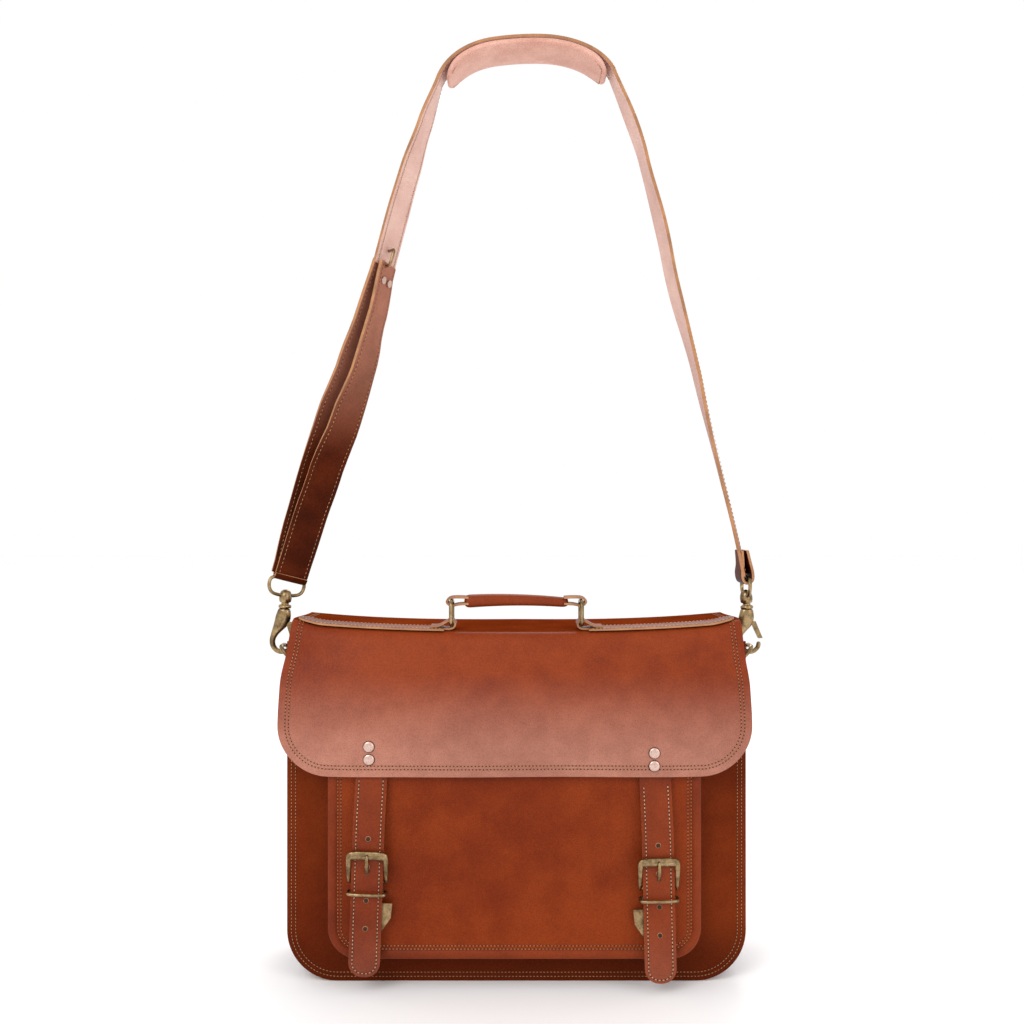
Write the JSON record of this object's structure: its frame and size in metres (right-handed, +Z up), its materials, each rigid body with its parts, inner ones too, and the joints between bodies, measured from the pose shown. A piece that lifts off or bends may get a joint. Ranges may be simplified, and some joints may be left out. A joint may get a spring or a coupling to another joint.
{
  "type": "satchel bag",
  "caption": "Leather satchel bag with a front flap, two buckled closing straps, a front pocket, a rolled top handle and a padded shoulder strap on snap hooks.",
  "frame": {"origin": "centre of the bag's base, where it would stand, on the plane of its mid-depth", "axes": "+Z up, +X to the right seen from the front, -Y towards the front with the flap and straps"},
  "size_m": [0.4298, 0.1326, 0.7996],
  "materials": {
    "body_leather": "smooth tan leather with light grain",
    "strap_leather": "firm stitched strap leather",
    "pad_leather": "padded leather with a stitched rim",
    "lining_fabric": "plain cotton lining",
    "board": "stiffening board",
    "antique_brass": "antique brass, darkened in the recesses",
    "nickel": "pale nickel cap",
    "magnet_steel": "plated magnet"
  },
  "bodies": {
    "shoulder_strap": {"shoulder_pad": "pad_leather", "slider_rivets": "nickel", "strap_fold_back": "strap_leather", "strap_fold_front": "strap_leather", "strap_right": "strap_leather", "strap_slider": "antique_brass", "strap_under_pad": "pad_leather", "strap_upper_left": "strap_leather", "swivel_post_left": "antique_brass", "swivel_post_right": "antique_brass", "swivel_ring_left": "antique_brass", "swivel_ring_right": "antique_brass"},
    "bag": {"back_lining": "lining_fabric", "back_panel": "body_leather", "base_board": "board", "clasp_magnets": "magnet_steel", "clasp_seat_left": "antique_brass", "clasp_seat_right": "antique_brass", "divider_panel": "lining_fabric", "dring_tab_left": "body_leather", "dring_tab_right": "body_leather", "front_lining": "lining_fabric", "front_panel": "body_leather", "front_pocket_gusset": "body_leather", "front_pocket_panel": "body_leather", "gusset_strip": "body_leather", "inner_slip_pocket": "lining_fabric", "tab_rivets": "antique_brass"},
    "flap_top": {"flap_top": "body_leather", "handle_base_left": "body_leather", "handle_base_loops": "body_leather", "handle_base_right": "body_leather"},
    "flap_front": {"flap_front": "body_leather", "flap_rivets": "nickel", "strap_root_left": "strap_leather", "strap_root_right": "strap_leather"},
    "grip": {"handle_end_loops": "body_leather", "handle_grip": "body_leather"},
    "closing_strap_left": {"buckle_frame_left": "antique_brass", "chape_left": "strap_leather", "clasp_plate_left": "antique_brass", "closing_strap_left": "strap_leather"},
    "closing_strap_right": {"buckle_frame_right": "antique_brass", "chape_right": "strap_leather", "clasp_plate_right": "antique_brass", "closing_strap_right": "strap_leather"},
    "prong_left": {"buckle_prong_left": "antique_brass"},
    "prong_right": {"buckle_prong_right": "antique_brass"},
    "roller_left": {"buckle_roller_left": "antique_brass"},
    "roller_right": {"buckle_roller_right": "antique_brass"},
    "dring_left": {"dring_left": "antique_brass"},
    "dring_right": {"dring_right": "antique_brass"},
    "handle_ring_left": {"handle_ring_left": "antique_brass"},
    "handle_ring_right": {"handle_ring_right": "antique_brass"},
    "hook_left": {"hook_body_left": "antique_brass"},
    "hook_right": {"hook_body_right": "antique_brass"},
    "gate_left": {"hook_gate_left": "antique_brass"},
    "gate_right": {"hook_gate_right": "antique_brass"},
    "keeper_left": {"keeper_left": "antique_brass"},
    "keeper_right": {"keeper_right": "antique_brass"}
  },
  "joints": [
    {"name": "bag_swing", "type": "hinge", "parent": "shoulder_strap", "child": "bag", "pos_m": [0, 0, 0.272], "axis": [1, 0, 0], "range_deg": [-12, 12]},
    {"name": "flap_lift", "type": "hinge", "parent": "bag", "child": "flap_top", "pos_m": [0, 0.0475, 0.2864], "axis": [-1, 0, 0], "range_deg": [0, 15]},
    {"name": "flap_open", "type": "hinge", "parent": "flap_top", "child": "flap_front", "pos_m": [0, -0.0471, 0.2894], "axis": [-1, 0, 0], "range_deg": [0, 135]},
    {"name": "closing_strap_lift_left", "type": "hinge", "parent": "flap_front", "child": "closing_strap_left", "pos_m": [-0.11747, -0.0675, 0.1706], "axis": [-0.9994, 0, 0.0349], "range_deg": [0, 45]},
    {"name": "roller_spin_left", "type": "hinge", "parent": "closing_strap_left", "child": "roller_left", "pos_m": [-0.11951, -0.0799, 0.11204], "axis": [0.9994, 0, -0.0349], "continuous": true},
    {"name": "prong_turn_left", "type": "hinge", "parent": "closing_strap_left", "child": "prong_left", "pos_m": [-0.1203, -0.0709, 0.08965], "axis": [0.9994, 0, -0.0349], "range_deg": [0, 8]},
    {"name": "keeper_slide_left", "type": "slide", "parent": "closing_strap_left", "child": "keeper_left", "axis": [0.0349, 0, 0.9994], "range_m": [-0.005, 0.002]},
    {"name": "dring_tilt_left", "type": "hinge", "parent": "bag", "child": "dring_left", "pos_m": [-0.1878, 0, 0.2561], "axis": [0, 1, 0], "range_deg": [-3, 3]},
    {"name": "hook_swivel_left", "type": "hinge", "parent": "shoulder_strap", "child": "hook_left", "pos_m": [-0.203, 0, 0.2754], "axis": [0.0698, 0, 0.9976], "range_deg": [-20, 20]},
    {"name": "gate_open_left", "type": "hinge", "parent": "hook_left", "child": "gate_left", "pos_m": [-0.19687, 0, 0.29141], "axis": [0, 1, 0], "range_deg": [0, 14], "stiffness_Nm_per_rad": 0.02},
    {"name": "handle_fold_left", "type": "hinge", "parent": "flap_top", "child": "handle_ring_left", "pos_m": [-0.0545, -0.031, 0.2939], "axis": [0, 1, 0], "range_deg": [-50, 50]},
    {"name": "closing_strap_lift_right", "type": "hinge", "parent": "flap_front", "child": "closing_strap_right", "pos_m": [0.11245, -0.0675, 0.1654], "axis": [-0.9997, 0, -0.0233], "range_deg": [0, 45]},
    {"name": "roller_spin_right", "type": "hinge", "parent": "closing_strap_right", "child": "roller_right", "pos_m": [0.11381, -0.0799, 0.10682], "axis": [0.9997, 0, 0.0233], "continuous": true},
    {"name": "prong_turn_right", "type": "hinge", "parent": "closing_strap_right", "child": "prong_right", "pos_m": [0.11433, -0.0709, 0.08442], "axis": [0.9997, 0, 0.0233], "range_deg": [0, 8]},
    {"name": "keeper_slide_right", "type": "slide", "parent": "closing_strap_right", "child": "keeper_right", "axis": [-0.0233, 0, 0.9997], "range_m": [-0.005, 0.002]},
    {"name": "dring_tilt_right", "type": "hinge", "parent": "bag", "child": "dring_right", "pos_m": [0.1878, 0, 0.2561], "axis": [0, 1, 0], "range_deg": [-3, 3]},
    {"name": "hook_swivel_right", "type": "hinge", "parent": "shoulder_strap", "child": "hook_right", "pos_m": [0.203, 0, 0.2754], "axis": [-0.0698, 0, 0.9976], "range_deg": [-20, 20]},
    {"name": "gate_open_right", "type": "hinge", "parent": "hook_right", "child": "gate_right", "pos_m": [0.20684, 0, 0.29211], "axis": [0, 1, 0], "range_deg": [0, 14], "stiffness_Nm_per_rad": 0.02},
    {"name": "handle_fold_right", "type": "hinge", "parent": "flap_top", "child": "handle_ring_right", "pos_m": [0.0545, -0.031, 0.2939], "axis": [0, 1, 0], "range_deg": [-50, 50]},
    {"name": "grip_level", "type": "hinge", "parent": "handle_ring_left", "child": "grip", "pos_m": [-0.0545, -0.031, 0.3129], "axis": [0, 1, 0], "range_deg": [-50, 50]}
  ],
  "couplings": [
    {"joint": "handle_fold_right", "follows": "handle_fold_left", "ratio": 1},
    {"joint": "grip_level", "follows": "handle_fold_left", "ratio": -1}
  ]
}
